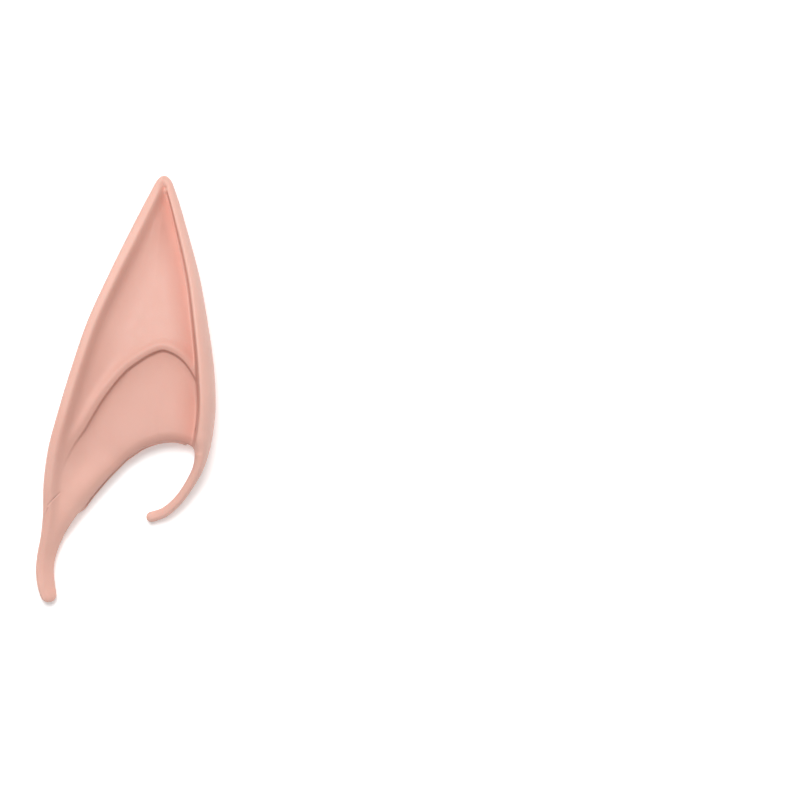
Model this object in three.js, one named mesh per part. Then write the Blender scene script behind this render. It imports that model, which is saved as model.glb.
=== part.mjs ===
import * as THREE from 'three';

// Elf ear tip: a slip-on costume ear moulded in latex, lying on its back with its point towards +Y.
// It is one hollow shell: a raised rim round a long blade, a curved inner fold with a step below it,
// an open pocket for the wearer's ear, a thin hook that goes round the lobe and a tapering tail.
// Lengths are in millimetres.

// Overall sizes
const EAR_LENGTH = 120;
const EAR_WIDTH = 50.6;
const CREST_HEIGHT = 18.5;

// Shell and pocket
const WALL = 1.6;
const SOLID_TIP = 14;
const POCKET_LEAST_GAP = 1.2;
const BACK_EDGE_SHOWING = 0.35;
const BACK_ROUND = 9;

// Hook and tail
const HOOK_THICKNESS = 2.9;
const HOOK_END_ROUND = 1.4;
const TAIL_WIDTH = 5.1;
const TAIL_END_ROUND = 2.1;

// Rim on the hook's side and on the long side: the width of its rounded edge, of its top and of the
// steep fall inside it, how far the gentle fall below that and the sunk floor reach, how crisp the
// steep fall is, its share of the height, and how deep the floor sinks towards the rim
const HOOK_SIDE_RIM = { round: 3.2, top: 3.45, fall: 1.25, reach: 8.5, crisp: 3, steep: 1, sink: 3.1 };
const LONG_SIDE_RIM = { round: 1, top: 2.3, fall: 1.9, reach: 12, crisp: 2, steep: 0.58, sink: 0 };

// Inner fold and the mouth below it
const FOLD_STEP = 1.2;
const FOLD_STEP_WIDTH = 0.8;
const FOLD_FALL = 1.6;
const FOLD_FALL_REACH = 4;
const FOLD_BEAD = 0.9;
const FOLD_BEAD_WIDTH = 3.5;
const MOUTH_RIDGE = 0.8;
const LIP_CURL = 1.3;
const LIP_RADIUS = 2.6;

// Stations and samples
const STATION_SPACING = 3;
const TRACE_STEPS = 6;
const SEARCH_STEPS = 40;
const SIDE_STATIONS = 3;

// Rows of a table as objects with its column names
const table = (names, rows) => {
  const columns = names.split(' ');
  return rows.map((row) => Object.fromEntries(columns.map((name, index) => [name, row[index]])));
};

// Sections from the hook's end over the tip to the tail's end. x and y place the outer edge, and
// mouthX and mouthY the inner edge, as shares of the ear's width and length from its left and its
// tail end. reach is how far a section runs straight in, as a share of the width. girth is a share
// of the hook's or the tail's thickness. crest, parting and back are the heights of the rim's top,
// the outline and the back, as shares of CREST_HEIGHT. rim, ridge and open are the shares of the
// rim's widths, of MOUTH_RIDGE and of the pocket's lip that a section has.
const HOOK_SECTIONS = table('x y girth crest parting back', [
  [0.649, 0.193, 1.05, 0.22, 0.12, 0.02],
  [0.726, 0.206, 0.98, 0.28, 0.18, 0.08],
  [0.811, 0.238, 0.91, 0.38, 0.27, 0.16],
  [0.884, 0.28, 0.95, 0.5, 0.37, 0.24],
  [0.931, 0.315, 1.06, 0.62, 0.43, 0.27],
]);
const BLADE_SECTIONS = table('x y mouthX mouthY reach crest parting back rim ridge open', [
  [0.96, 0.35, 0.8835, 0.346, 0.035, 0.74, 0.44, 0.18, 1, 0, 0],
  [0.98, 0.387, 0.88, 0.3635, 0.045, 0.86, 0.43, 0.05, 1, 0, 0.5],
  [0.999, 0.456, 0.847, 0.3742, 0.08, 0.96, 0.42, 0, 1, 0, 1],
  [0.991, 0.5515, 0.809, 0.3812, 0.12, 1, 0.43, 0, 0.98, 0, 1],
  [0.96, 0.649, 0.765, 0.3847, 0.165, 0.97, 0.45, 0, 0.86, 0, 1],
  [0.911, 0.765, 0.721, 0.3845, 0.165, 0.86, 0.46, 0, 0.72, 0, 1],
  [0.8455, 0.869, 0.677, 0.3814, 0.12, 0.72, 0.46, 0.02, 0.62, 0, 1],
  [0.782, 0.957, 0.638, 0.3763, 0.05, 0.57, 0.4, 0.08, 0.54, 0, 1],
  [0.746, 0.9923, 0.6135, 0.3724, 0.022, 0.48, 0.35, 0.14, 0.46, 0, 1],
  [0.715, 1, 0.589, 0.3673, 0.02, 0.44, 0.32, 0.17, 0.5, 0, 1],
  [0.683, 0.9923, 0.567, 0.3612, 0.022, 0.48, 0.35, 0.14, 0.64, 0, 1],
  [0.636, 0.957, 0.539, 0.3531, 0.05, 0.56, 0.41, 0.08, 0.86, 0, 1],
  [0.53, 0.869, 0.501, 0.3413, 0.13, 0.69, 0.47, 0.02, 1, 0, 1],
  [0.411, 0.765, 0.457, 0.323, 0.175, 0.81, 0.5, 0, 1, 0.1, 1],
  [0.3, 0.6605, 0.407, 0.3016, 0.187, 0.88, 0.52, 0, 1, 0.3, 1],
  [0.2155, 0.556, 0.355, 0.2768, 0.18, 0.92, 0.53, 0, 1, 0.7, 1],
  [0.14, 0.452, 0.3055, 0.2517, 0.165, 0.91, 0.52, 0, 1, 1, 1],
  [0.082, 0.3635, 0.2615, 0.2267, 0.143, 0.83, 0.48, 0, 1, 1, 0.97],
  [0.0525, 0.28, 0.223, 0.205, 0.1, 0.68, 0.38, 0, 0.94, 1, 0.72],
  [0.0455, 0.215, 0.19, 0.1849, 0.077, 0.53, 0.29, 0, 0.86, 0.9, 0.3],
  [0.0297, 0.1617, 0.152, 0.1582, 0.055, 0.42, 0.21, 0, 0.8, 0.7, 0],
]);
const TAIL_SECTIONS = table('x y girth crest parting back', [
  [0.0093, 0.12, 1.01, 0.34, 0.18, 0],
  [0, 0.0805, 0.98, 0.3, 0.16, 0],
  [0.0083, 0.0434, 0.96, 0.28, 0.15, 0],
  [0.026, 0.018, 0.88, 0.26, 0.14, 0],
]);

// A thin part's inner edge lies its own thickness in from the outer one
const rod = (rows, thickness, rim, ridge) =>
  rows.map((row) => {
    const width = row.girth * thickness;
    return { ...row, width, reach: (0.5 * width) / EAR_WIDTH, rim, ridge, open: 0 };
  });
const SECTIONS = [
  ...rod(HOOK_SECTIONS, HOOK_THICKNESS, 1, 0),
  ...BLADE_SECTIONS,
  ...rod(TAIL_SECTIONS, TAIL_WIDTH, 0.78, 0.5),
];
const LAST_SECTION = SECTIONS.length - 1;
const TIP_SECTION = SECTIONS.findIndex((row) => row.y === 1);

// Floor of the hollow inside the rim, from the tail's end to the tip, in the same shares
const FLOOR = table('y height', [
  [0, 0.15],
  [0.104, 0.19],
  [0.173, 0.3],
  [0.243, 0.41],
  [0.3125, 0.52],
  [0.382, 0.6],
  [0.475, 0.63],
  [0.591, 0.62],
  [0.707, 0.54],
  [0.823, 0.45],
  [0.94, 0.4],
  [1, 0.4],
]);

// Lower edge of the inner fold, from the hook side's rim over its arch and down towards the tail.
// strength is the share of the fold's step and bead.
const FOLD = table('x y strength', [
  [0.913, 0.512, 1],
  [0.844, 0.561, 1],
  [0.787, 0.5825, 1],
  [0.715, 0.594, 1],
  [0.648, 0.585, 1],
  [0.581, 0.568, 1],
  [0.502, 0.542, 1],
  [0.385, 0.481, 0.95],
  [0.284, 0.41, 0.75],
  [0.226, 0.375, 0.4],
  [0.16, 0.322, 0.1],
  [0.111, 0.271, 0],
]);

const clamp01 = (value) => Math.min(1, Math.max(0, value));
const lerp = THREE.MathUtils.lerp;
const ease = (value) => THREE.MathUtils.smoothstep(value, 0, 1);

// Height share of a quarter round at a share of the way in from its edge
const quarterRound = (share) => Math.sqrt(1 - (1 - clamp01(share)) ** 2);

const place = (x, y) => new THREE.Vector3(x * EAR_WIDTH, y * EAR_LENGTH, 0);

// Smooth value of one column at a row number, which may lie between two rows
function column(rows, name, at) {
  const row = Math.min(rows.length - 2, Math.max(0, Math.floor(at)));
  const start = rows[row][name];
  const end = rows[row + 1][name];
  const before = row > 0 ? rows[row - 1][name] : start;
  const after = row + 2 < rows.length ? rows[row + 2][name] : end;
  const t = at - row;
  const bend = 2 * before - 5 * start + 4 * end - after;
  const twist = 3 * (start - end) + after - before;
  return start + 0.5 * t * (end - before + t * (bend + t * twist));
}

// Height of the floor at a distance along the ear
function floorHeight(y) {
  const share = clamp01(y / EAR_LENGTH);
  let row = 0;
  while (row < FLOOR.length - 2 && FLOOR[row + 1].y < share) {
    row += 1;
  }
  const t = (share - FLOOR[row].y) / (FLOOR[row + 1].y - FLOOR[row].y);
  return CREST_HEIGHT * column(FLOOR, 'height', row + t);
}

// Outer and inner edge in plan

const smoothCurve = (points) => new THREE.CatmullRomCurve3(points, false, 'centripetal');

const outerCurve = smoothCurve(SECTIONS.map((row) => place(row.x, row.y)));

function inward(at) {
  const along = outerCurve.getTangent(at / LAST_SECTION);
  return new THREE.Vector3(-along.y, along.x, 0);
}

function innerPoint(row, at) {
  if (row.mouthX !== undefined) {
    return place(row.mouthX, row.mouthY);
  }
  return place(row.x, row.y).addScaledVector(inward(at), row.width);
}

const innerCurve = smoothCurve(SECTIONS.map(innerPoint));

// A section's path in plan: straight in from the outer edge, then round to the inner edge
function sectionPath(at) {
  const outer = outerCurve.getPoint(at / LAST_SECTION);
  const inner = innerCurve.getPoint(at / LAST_SECTION);
  const reach = column(SECTIONS, 'reach', at) * EAR_WIDTH;
  return new THREE.QuadraticBezierCurve3(outer, outer.clone().addScaledVector(inward(at), reach), inner);
}

// An edge as short straight pieces, each with the table's values at its start
function trace(curve, rows, names, first, last) {
  const count = (last - first) * TRACE_STEPS;
  return Array.from({ length: count + 1 }, (_, index) => {
    const at = first + index / TRACE_STEPS;
    const { x, y } = curve.getPoint(at / (rows.length - 1));
    const values = names.map((name) => [name, column(rows, name, at)]);
    return { x, y, ...Object.fromEntries(values) };
  });
}

function traceSections(curve, first, last) {
  const names = ['crest', 'parting', 'back', 'rim', 'ridge', 'open'];
  return trace(curve, SECTIONS, names, first, last).map((spot, index) => {
    const length = sectionPath(first + index / TRACE_STEPS).getLength();
    return { ...spot, length };
  });
}

const HOOK_ROOT = HOOK_SECTIONS.length;
const hookOuterEdge = traceSections(outerCurve, 0, TIP_SECTION);
const bladeOuterEdge = traceSections(outerCurve, HOOK_ROOT, TIP_SECTION);
const longSideEdge = traceSections(outerCurve, TIP_SECTION, LAST_SECTION);
const innerEdge = traceSections(innerCurve, 0, LAST_SECTION);
const foldCurve = smoothCurve(FOLD.map((row) => place(row.x, row.y)));
const foldEdge = trace(foldCurve, FOLD, ['strength'], 0, FOLD.length - 1);

// Closest place on a traced edge. The side is 1 where the point lies left of the edge's direction.
function nearest(edge, x, y) {
  let least = Infinity;
  let found = 0;
  let share = 0;
  for (let index = 0; index + 1 < edge.length; index += 1) {
    const start = edge[index];
    const dx = edge[index + 1].x - start.x;
    const dy = edge[index + 1].y - start.y;
    const t = clamp01(((x - start.x) * dx + (y - start.y) * dy) / (dx * dx + dy * dy));
    const offX = x - start.x - t * dx;
    const offY = y - start.y - t * dy;
    const squared = offX * offX + offY * offY;
    if (squared < least) {
      least = squared;
      found = index;
      share = t;
    }
  }
  const start = edge[found];
  const end = edge[found + 1];
  const cross = (end.x - start.x) * (y - start.y) - (end.y - start.y) * (x - start.x);
  const value = (name) => lerp(start[name], end[name], share);
  return { distance: Math.sqrt(least), side: cross > 0 ? 1 : -1, value };
}

// Heights of the front and the back

// Most that a rounding may take of a narrow section, so that two of them leave a little between
const limitRound = (radius, edge) => Math.min(radius, 0.42 * edge.value('length'));

// How much of a rim's height is left at a distance in from the outer edge
function rimShape(rim, edge) {
  const scale = edge.value('rim');
  const past = Math.max(0, edge.distance - rim.top * scale);
  const steep = Math.exp(-((past / (rim.fall * scale)) ** rim.crisp));
  const gentle = (1 - ease(past / (rim.reach * scale))) ** 2;
  return {
    rise: rim.steep * steep + (1 - rim.steep) * gentle,
    sink: rim.sink * (1 - clamp01(past / rim.reach)) ** 2,
  };
}

// Floor inside the rim with the fold's bead and step and the ridge beside the mouth
function innerFloor(x, y, mouth) {
  const fold = nearest(foldEdge, x, y);
  const past = fold.distance * fold.side;
  const step = FOLD_STEP * ease(past / FOLD_STEP_WIDTH + 0.2);
  const fall = FOLD_FALL * (1 - Math.exp(-Math.max(0, past) / FOLD_FALL_REACH));
  const recovery = 1 - 0.2 * ease((past - 3) / 12);
  const bead = FOLD_BEAD * Math.exp(-(((past / FOLD_BEAD_WIDTH + 0.4) / 0.42) ** 2));
  const ridgeMiddle = limitRound(1.2 * LIP_RADIUS, mouth);
  const ridge = Math.exp(-((mouth.distance / ridgeMiddle - 1) ** 2));
  const relief = bead - (step + fall) * recovery;
  return floorHeight(y) + fold.value('strength') * relief + MOUTH_RIDGE * mouth.value('ridge') * ridge;
}

// A place on the blade has nothing to do with the hook, though the hook's end may lie nearest to it
function surfaceAt(x, y, isOnHook) {
  const hookSide = nearest(isOnHook ? hookOuterEdge : bladeOuterEdge, x, y);
  const longSide = nearest(longSideEdge, x, y);
  const mouth = nearest(innerEdge, x, y);
  const onHookSide = hookSide.distance < longSide.distance;
  const near = onHookSide ? hookSide : longSide;
  const rim = onHookSide ? HOOK_SIDE_RIM : LONG_SIDE_RIM;
  const apart = Math.max(hookSide.distance + longSide.distance, Number.EPSILON);
  const hookShare = longSide.distance / apart;
  const height = (name, share) =>
    CREST_HEIGHT * lerp(longSide.value(name), hookSide.value(name), share);

  const hookRim = rimShape(HOOK_SIDE_RIM, hookSide);
  const longRim = rimShape(LONG_SIDE_RIM, longSide);
  const floor = innerFloor(x, y, mouth) - hookRim.sink - longRim.sink;
  const hookRise = Math.max(0, CREST_HEIGHT * hookSide.value('crest') - floor);
  const longRise = Math.max(0, CREST_HEIGHT * longSide.value('crest') - floor);
  const top = floor + ((hookRise * hookRim.rise) ** 4 + (longRise * longRim.rise) ** 4) ** (1 / 4);

  const fromOutside = near.distance * near.side;
  const fromMouth = -mouth.distance * mouth.side;
  const open = clamp01(mouth.value('open'));
  const parting = height('parting', hookShare);
  const innerParting = CREST_HEIGHT * mouth.value('parting');

  const edgeRound = limitRound(rim.round * near.value('rim'), near);
  const rounded = lerp(parting, top, quarterRound(fromOutside / edgeRound));
  const lip = clamp01(fromMouth / limitRound(LIP_RADIUS, mouth));
  const lipShape = lerp(quarterRound(lip), 1 - (1 - lip) ** 2, open);
  const front = lerp(lerp(innerParting, rounded - LIP_CURL, open), rounded, lipShape);

  const outerBack = quarterRound(fromOutside / limitRound(BACK_ROUND, near));
  const innerBack = quarterRound(fromMouth / limitRound(BACK_ROUND, mouth));
  // The hook's root lifts the back close to its own side only
  const under = lerp(parting, Math.max(0, height('back', hookShare ** 6)), outerBack);
  return { front, back: lerp(innerParting, under, lerp(innerBack, 1, open)) };
}

// A small ball with the wall's radius, which the pocket's lining touches from inside everywhere, and
// a slightly wider belt around it, which keeps the lining out of the sharpest edges
function ballPlaces() {
  const places = [{ x: 0, y: 0, rise: 1 }];
  for (const share of [0.55, 0.92, 1.2]) {
    for (let turn = 0; turn < 8; turn += 1) {
      const angle = (turn * Math.PI) / 4;
      const rise = Math.sqrt(Math.max(0, 1 - share * share));
      places.push({ x: share * Math.cos(angle), y: share * Math.sin(angle), rise });
    }
  }
  return places;
}

const BALL = ballPlaces();

// Top and bottom of the pocket at a place. It stops early where they come closer than the least gap.
function pocketAt({ x, y }, leastGap) {
  let top = Infinity;
  let bottom = -Infinity;
  for (const ball of BALL) {
    const surface = surfaceAt(x + WALL * ball.x, y + WALL * ball.y, false);
    top = Math.min(top, surface.front - WALL * ball.rise);
    bottom = Math.max(bottom, surface.back + WALL * ball.rise);
    if (top - bottom < leastGap) {
      return null;
    }
  }
  return { top, bottom };
}

// Distances along a section from its outer edge, close together where the surface turns

const evenly = (count) => Array.from({ length: count }, (_, index) => (index + 1) / count);
const roundly = (count) => evenly(count).map((share) => 1 - Math.cos((share * Math.PI) / 2));

const FRONT_STEPS = [
  roundly(3),
  evenly(1),
  evenly(3),
  evenly(3),
  evenly(2),
  evenly(3),
  evenly(2),
  evenly(4),
  evenly(3),
];
const BACK_STEPS = [roundly(4), evenly(5), evenly(2)];
const LINING_STEPS = [evenly(4), evenly(3), evenly(3), evenly(2), evenly(2)];

// Moves marks that lie too close apart, from the outside in and back again
function spread(marks, least) {
  const apart = [...marks];
  for (let index = 1; index < apart.length - 1; index += 1) {
    apart[index] = Math.max(apart[index], apart[index - 1] + least);
  }
  for (let index = apart.length - 2; index > 0; index -= 1) {
    apart[index] = Math.min(apart[index], apart[index + 1] - least);
  }
  return apart;
}

function fill(marks, steps) {
  const parts = steps.map((shares, index) =>
    shares.map((share) => lerp(marks[index], marks[index + 1], share))
  );
  return [marks[0], ...parts.flat()];
}

// A narrow section's distances are those of a round rod, and a wide one's follow its marks
function distancesBetween(marks, steps, length) {
  const wide = fill(spread(marks, 0.03 * length), steps);
  const bladeShare = ease((length - 3.2) / 4);
  const last = wide.length - 1;
  return wide.map((distance, index) => {
    const round = (length * (1 - Math.cos((Math.PI * index) / last))) / 2;
    return lerp(round, distance, bladeShare);
  });
}

// Share of its length at which a section crosses the fold's lower edge, or 0 where it doesn't
function foldCrossing(path) {
  let before = 0;
  for (let index = 0; index <= SEARCH_STEPS; index += 1) {
    const { x, y } = path.getPointAt(index / SEARCH_STEPS);
    const fold = nearest(foldEdge, x, y);
    const past = fold.distance * fold.side;
    if (before < 0 && past >= 0) {
      return (index - past / (past - before)) / SEARCH_STEPS;
    }
    before = past;
  }
  return 0;
}

function frontMarks(at, crossing, length) {
  const rim = at < TIP_SECTION ? HOOK_SIDE_RIM : LONG_SIDE_RIM;
  const scale = column(SECTIONS, 'rim', at);
  const foot = (rim.top + 1.5 * rim.fall) * scale;
  const floorEnd = (crossing || length) - FOLD_BEAD_WIDTH;
  return [
    0,
    Math.min(rim.round * scale, 0.42 * length),
    rim.top * scale,
    foot,
    Math.min(rim.top * scale + 0.8 * rim.reach, (foot + floorEnd) / 2),
    crossing - FOLD_BEAD_WIDTH,
    crossing - 0.3 * FOLD_STEP_WIDTH,
    crossing + FOLD_STEP_WIDTH,
    length - LIP_RADIUS,
    length,
  ];
}

// Distance from the outer edge at which a section's pocket ends
function pocketEnd(path, length) {
  const tip = outerCurve.getPoint(TIP_SECTION / LAST_SECTION);
  for (let index = SEARCH_STEPS; index >= 0; index -= 1) {
    const point = path.getPointAt(index / SEARCH_STEPS);
    if (point.distanceTo(tip) < SOLID_TIP || !pocketAt(point, POCKET_LEAST_GAP)) {
      return (length * (index + 1)) / SEARCH_STEPS;
    }
  }
  return 0;
}

// The pocket's height shrinks over its last few stations on either side, 0 where it is closed
function pinchPocketSides(stations) {
  let steps = 0;
  const pass = (station) => {
    const isOpen = station.open > 0.85 && station.length - station.pocketFrom > 2 * WALL;
    steps = isOpen ? steps + 1 : 0;
    station.pinch = Math.min(station.pinch, clamp01((steps - 0.7 * (steps > 0)) / SIDE_STATIONS));
  };
  stations.forEach(pass);
  steps = 0;
  [...stations].reverse().forEach(pass);
}

// Row numbers of the stations, about evenly spaced along the outer edge
function stationNumbers() {
  const numbers = [0];
  for (let row = 0; row < LAST_SECTION; row += 1) {
    const start = outerCurve.getPoint(row / LAST_SECTION);
    const end = outerCurve.getPoint((row + 1) / LAST_SECTION);
    const widens = row >= HOOK_ROOT && row < HOOK_ROOT + 4;
    const spacing = widens ? 0.6 * STATION_SPACING : STATION_SPACING;
    const count = Math.max(2, Math.round(start.distanceTo(end) / spacing));
    evenly(count).forEach((share) => numbers.push(row + share));
  }
  return numbers;
}

function measureStation(at) {
  const path = sectionPath(at);
  const length = path.getLength();
  const pocketFrom = pocketEnd(path, length);
  const open = clamp01(column(SECTIONS, 'open', at));
  return { at, path, length, open, fold: foldCrossing(path), pocketFrom, pinch: 1 };
}

// Past the fold's lower end the sections keep the place at which the last one crossed it
function carryFoldOn(stations) {
  for (let index = 1; index < stations.length; index += 1) {
    const station = stations[index];
    if (station.at > TIP_SECTION && station.fold === 0) {
      station.fold = stations[index - 1].fold;
    }
  }
}

// The pocket's closed end moves no faster from station to station than they are apart
function easePocketEnds(stations) {
  const slack = 1.5 * STATION_SPACING;
  const follow = (station, other) => {
    if (other.pocketFrom < other.length) {
      station.pocketFrom = Math.max(station.pocketFrom, other.pocketFrom - slack);
    }
  };
  for (let index = 1; index < stations.length; index += 1) {
    follow(stations[index], stations[index - 1]);
  }
  for (let index = stations.length - 2; index >= 0; index -= 1) {
    follow(stations[index], stations[index + 1]);
  }
}

// Shell builder: numbered vertices and the triangles between them
class Shell {
  constructor() {
    this.positions = [];
    this.triangles = [];
  }

  vertex(point, height) {
    this.positions.push(point.x, point.y, height);
    return this.positions.length / 3 - 1;
  }

  read(index) {
    return new THREE.Vector3().fromArray(this.positions, 3 * index);
  }

  triangle(a, b, c) {
    if (a !== b && b !== c && c !== a) {
      this.triangles.push(a, b, c);
    }
  }

  quad(a, b, c, d) {
    this.triangle(a, b, c);
    this.triangle(a, c, d);
  }

  // Faces between two rows of as many vertices
  strip(row, next) {
    for (let index = 0; index + 1 < row.length; index += 1) {
      this.quad(row[index], next[index], next[index + 1], row[index + 1]);
    }
  }

  geometry() {
    const geometry = new THREE.BufferGeometry();
    geometry.setAttribute('position', new THREE.Float32BufferAttribute(this.positions, 3));
    geometry.setIndex(this.triangles);
    geometry.computeVertexNormals();
    return geometry;
  }
}

// Point on a path, which runs on straight past the inner edge
function pointOn({ path, length }, distance) {
  const point = path.getPointAt(clamp01(distance / length));
  return point.addScaledVector(path.getTangentAt(1), Math.max(0, distance - length));
}

// One vertex for each distance along a section, on its front or its back
function addSurfaceRow(shell, station, distances, side) {
  return distances.map((distance) => {
    const spot = pointOn(station, distance);
    return shell.vertex(spot, surfaceAt(spot.x, spot.y, station.at < HOOK_ROOT)[side]);
  });
}

// The back's edge shows a little past the front lip
const backStretch = ({ open, pinch, length }) => 1 + (BACK_EDGE_SHOWING * open * pinch) / length;

// Lining of the pocket, from the front lip up to its closed end and back to the back lip
function addLining(shell, station, [frontLip, backLip]) {
  const { path, length, open, pocketFrom, pinch } = station;
  const crossing = station.fold * length;
  const marks = [
    pocketFrom,
    pocketFrom + HOOK_SIDE_RIM.top,
    crossing - FOLD_BEAD_WIDTH,
    crossing + FOLD_STEP_WIDTH,
    length - LIP_RADIUS,
    length,
  ];
  const distances = fill(spread(marks, 0.04 * (length - pocketFrom)), LINING_STEPS);
  const heights = distances.map((distance) => {
    const { top, bottom } = pocketAt(pointOn(station, distance), -Infinity);
    const middle = (top + bottom) / 2;
    return { top: lerp(middle, top, pinch), middle, bottom: lerp(middle, bottom, pinch) };
  });
  const deepEnd = shell.vertex(pointOn(station, distances[0]), heights[0].middle);
  const inner = distances.slice(1);
  const stretch = backStretch(station);
  const top = inner.map((distance, index) =>
    shell.vertex(pointOn(station, distance), heights[index + 1].top)
  );
  const bottom = inner.map((distance, index) =>
    shell.vertex(pointOn(station, distance * stretch), heights[index + 1].bottom)
  );
  const lipMiddle = (outerId, innerId) => {
    const middle = shell.read(outerId).lerp(shell.read(innerId), 0.5);
    middle.addScaledVector(path.getTangentAt(1), 0.3 * WALL * open * pinch);
    return shell.vertex(middle, middle.z);
  };
  return [
    frontLip,
    lipMiddle(frontLip, top.at(-1)),
    ...top.reverse(),
    deepEnd,
    ...bottom,
    lipMiddle(backLip, bottom.at(-1)),
    backLip,
  ];
}

// One station's vertices: its front and back rows, and its lining where the pocket is open
function addStation(shell, station) {
  const { at, length, fold } = station;
  const front = addSurfaceRow(
    shell,
    station,
    distancesBetween(frontMarks(at, fold * length, length), FRONT_STEPS, length),
    'front'
  );
  const backMarks = [0, Math.min(BACK_ROUND, 0.42 * length), length - LIP_RADIUS, length];
  const backDistances = distancesBetween(backMarks, BACK_STEPS, length);
  if (station.pinch === 0) {
    const inner = addSurfaceRow(shell, station, backDistances.slice(1, -1), 'back');
    return { front, back: [front[0], ...inner, front.at(-1)], lining: null };
  }
  const stretched = backDistances.slice(1).map((distance) => distance * backStretch(station));
  const back = [front[0], ...addSurfaceRow(shell, station, stretched, 'back')];
  return { front, back, lining: addLining(shell, station, [front.at(-1), back.at(-1)]) };
}

// Web from the two lips to the corner beside them, and the wall across the pocket's end behind it
function closePocket(shell, lining, corner, facing) {
  const add = (a, b, c) => (facing > 0 ? shell.triangle(a, b, c) : shell.triangle(a, c, b));
  const last = lining.length - 1;
  const rim = [...lining.slice(0, 3), ...lining.slice(-3)];
  rim.slice(1).forEach((id, index) => add(corner, rim[index], id));
  for (let index = 2; index < last / 2; index += 1) {
    const [a, b] = [lining[index], lining[index + 1]];
    const [c, d] = [lining[last - index - 1], lining[last - index]];
    add(a, b, c);
    add(a, c, d);
  }
}

// Rounded end of the hook or the tail, from its last ring to a pole
function addEndCap(shell, rows, direction, radius, facing) {
  const outline = [...rows.front, ...rows.back.slice(1, -1).reverse()];
  const points = outline.map((id) => shell.read(id));
  const centre = points.reduce((sum, point) => sum.add(point), new THREE.Vector3());
  centre.divideScalar(points.length);
  const link = (from, to) => (facing > 0 ? shell.strip(from, to) : shell.strip(to, from));
  let ring = [...outline, outline[0]];
  for (const share of [0.25, 0.5, 0.75]) {
    const angle = (share * Math.PI) / 2;
    const ids = points.map((point) => {
      const spot = centre.clone().lerp(point, Math.cos(angle));
      spot.addScaledVector(direction, radius * Math.sin(angle));
      return shell.vertex(spot, spot.z);
    });
    const next = [...ids, ids[0]];
    link(ring, next);
    ring = next;
  }
  const pole = centre.clone().addScaledVector(direction, radius);
  const poleId = shell.vertex(pole, pole.z);
  link(ring, ring.map(() => poleId));
}

function makeShell() {
  const shell = new Shell();
  const stations = stationNumbers().map(measureStation);
  carryFoldOn(stations);
  easePocketEnds(stations);
  pinchPocketSides(stations);
  const rows = stations.map((station) => addStation(shell, station));
  for (let index = 0; index + 1 < rows.length; index += 1) {
    const from = rows[index];
    const to = rows[index + 1];
    shell.strip(from.front, to.front);
    shell.strip(to.back, from.back);
    if (from.lining && to.lining) {
      shell.strip(from.lining, to.lining);
    } else if (to.lining) {
      closePocket(shell, to.lining, from.front.at(-1), 1);
    } else if (from.lining) {
      closePocket(shell, from.lining, to.front.at(-1), -1);
    }
  }
  addEndCap(shell, rows[0], outerCurve.getTangent(0).negate(), HOOK_END_ROUND, -1);
  addEndCap(shell, rows.at(-1), outerCurve.getTangent(1), TAIL_END_ROUND, 1);
  return shell.geometry();
}

// The ear lies centred over the origin with its back on the surface
function makeEar() {
  const geometry = makeShell();
  geometry.computeBoundingBox();
  const { min, max } = geometry.boundingBox;
  geometry.translate(-(min.x + max.x) / 2, -(min.y + max.y) / 2, -min.z);
  const latex = new THREE.MeshStandardMaterial({ color: 0xebb9a6, roughness: 0.6, metalness: 0 });
  const ear = new THREE.Mesh(geometry, latex);
  ear.name = 'ear_shell';
  return ear;
}

const elfEarTip = new THREE.Group();
elfEarTip.add(makeEar());

export default elfEarTip;
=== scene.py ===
"""An elf ear tip in moulded latex, lying on its back on a white table under soft light."""

import bpy
import numpy as np
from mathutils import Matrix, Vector


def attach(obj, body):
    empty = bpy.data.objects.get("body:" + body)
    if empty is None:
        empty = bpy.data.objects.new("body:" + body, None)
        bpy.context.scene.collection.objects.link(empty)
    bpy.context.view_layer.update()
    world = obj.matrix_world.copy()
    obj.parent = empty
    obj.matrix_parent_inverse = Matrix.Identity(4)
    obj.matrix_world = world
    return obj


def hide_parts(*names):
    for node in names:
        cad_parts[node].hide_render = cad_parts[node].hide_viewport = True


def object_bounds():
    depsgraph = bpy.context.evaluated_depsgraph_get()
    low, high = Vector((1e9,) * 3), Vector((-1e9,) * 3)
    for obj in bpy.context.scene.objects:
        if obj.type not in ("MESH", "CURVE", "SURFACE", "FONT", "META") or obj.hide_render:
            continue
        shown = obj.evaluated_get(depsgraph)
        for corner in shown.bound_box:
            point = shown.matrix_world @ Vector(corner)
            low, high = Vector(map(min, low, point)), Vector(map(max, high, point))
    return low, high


MM = 0.001

# Photograph: its side in pixels, a pixel's real width at the ear and the pixel at the ear's middle
PHOTO_SIDE = 800
PIXEL = 0.2784 * MM
EAR_MIDDLE_PIXEL = (124.85, 389.2)

# Camera: its height over the level at which the picture has its true size, and that level
CAMERA_HEIGHT = 0.9
LOOK_HEIGHT = 8 * MM
SENSOR_WIDTH = 36

# Form of the ear in millimetres, from its left and its tail end
EAR_LENGTH = 120
EAR_WIDTH = 50.6
CREST_HEIGHT = 18.5
WALL = 1.6
SOLID_TIP = 14
POCKET_LEAST_GAP = 1.2
BACK_EDGE_SHOWING = 0.35
BACK_ROUND = 9
HOOK_THICKNESS = 2.9
HOOK_END_ROUND = 1.4
TAIL_WIDTH = 5.1
TAIL_END_ROUND = 2.1
NARROW_SHARE = 0.42

# Rims on the hook's side and on the long side: the widths of the rounded edge, the top and the steep
# fall inside it, how far the gentle fall reaches, how crisp the steep fall is and its share of the
# whole fall, and how deep the floor sinks beside the rim
HOOK_SIDE_RIM = dict(round=3.2, top=3.45, fall=1.25, reach=8.5, crisp=3, steep=1, sink=3.1)
LONG_SIDE_RIM = dict(round=1, top=2.3, fall=1.9, reach=12, crisp=2, steep=0.58, sink=0)
RIM_UNION = 4

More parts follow.
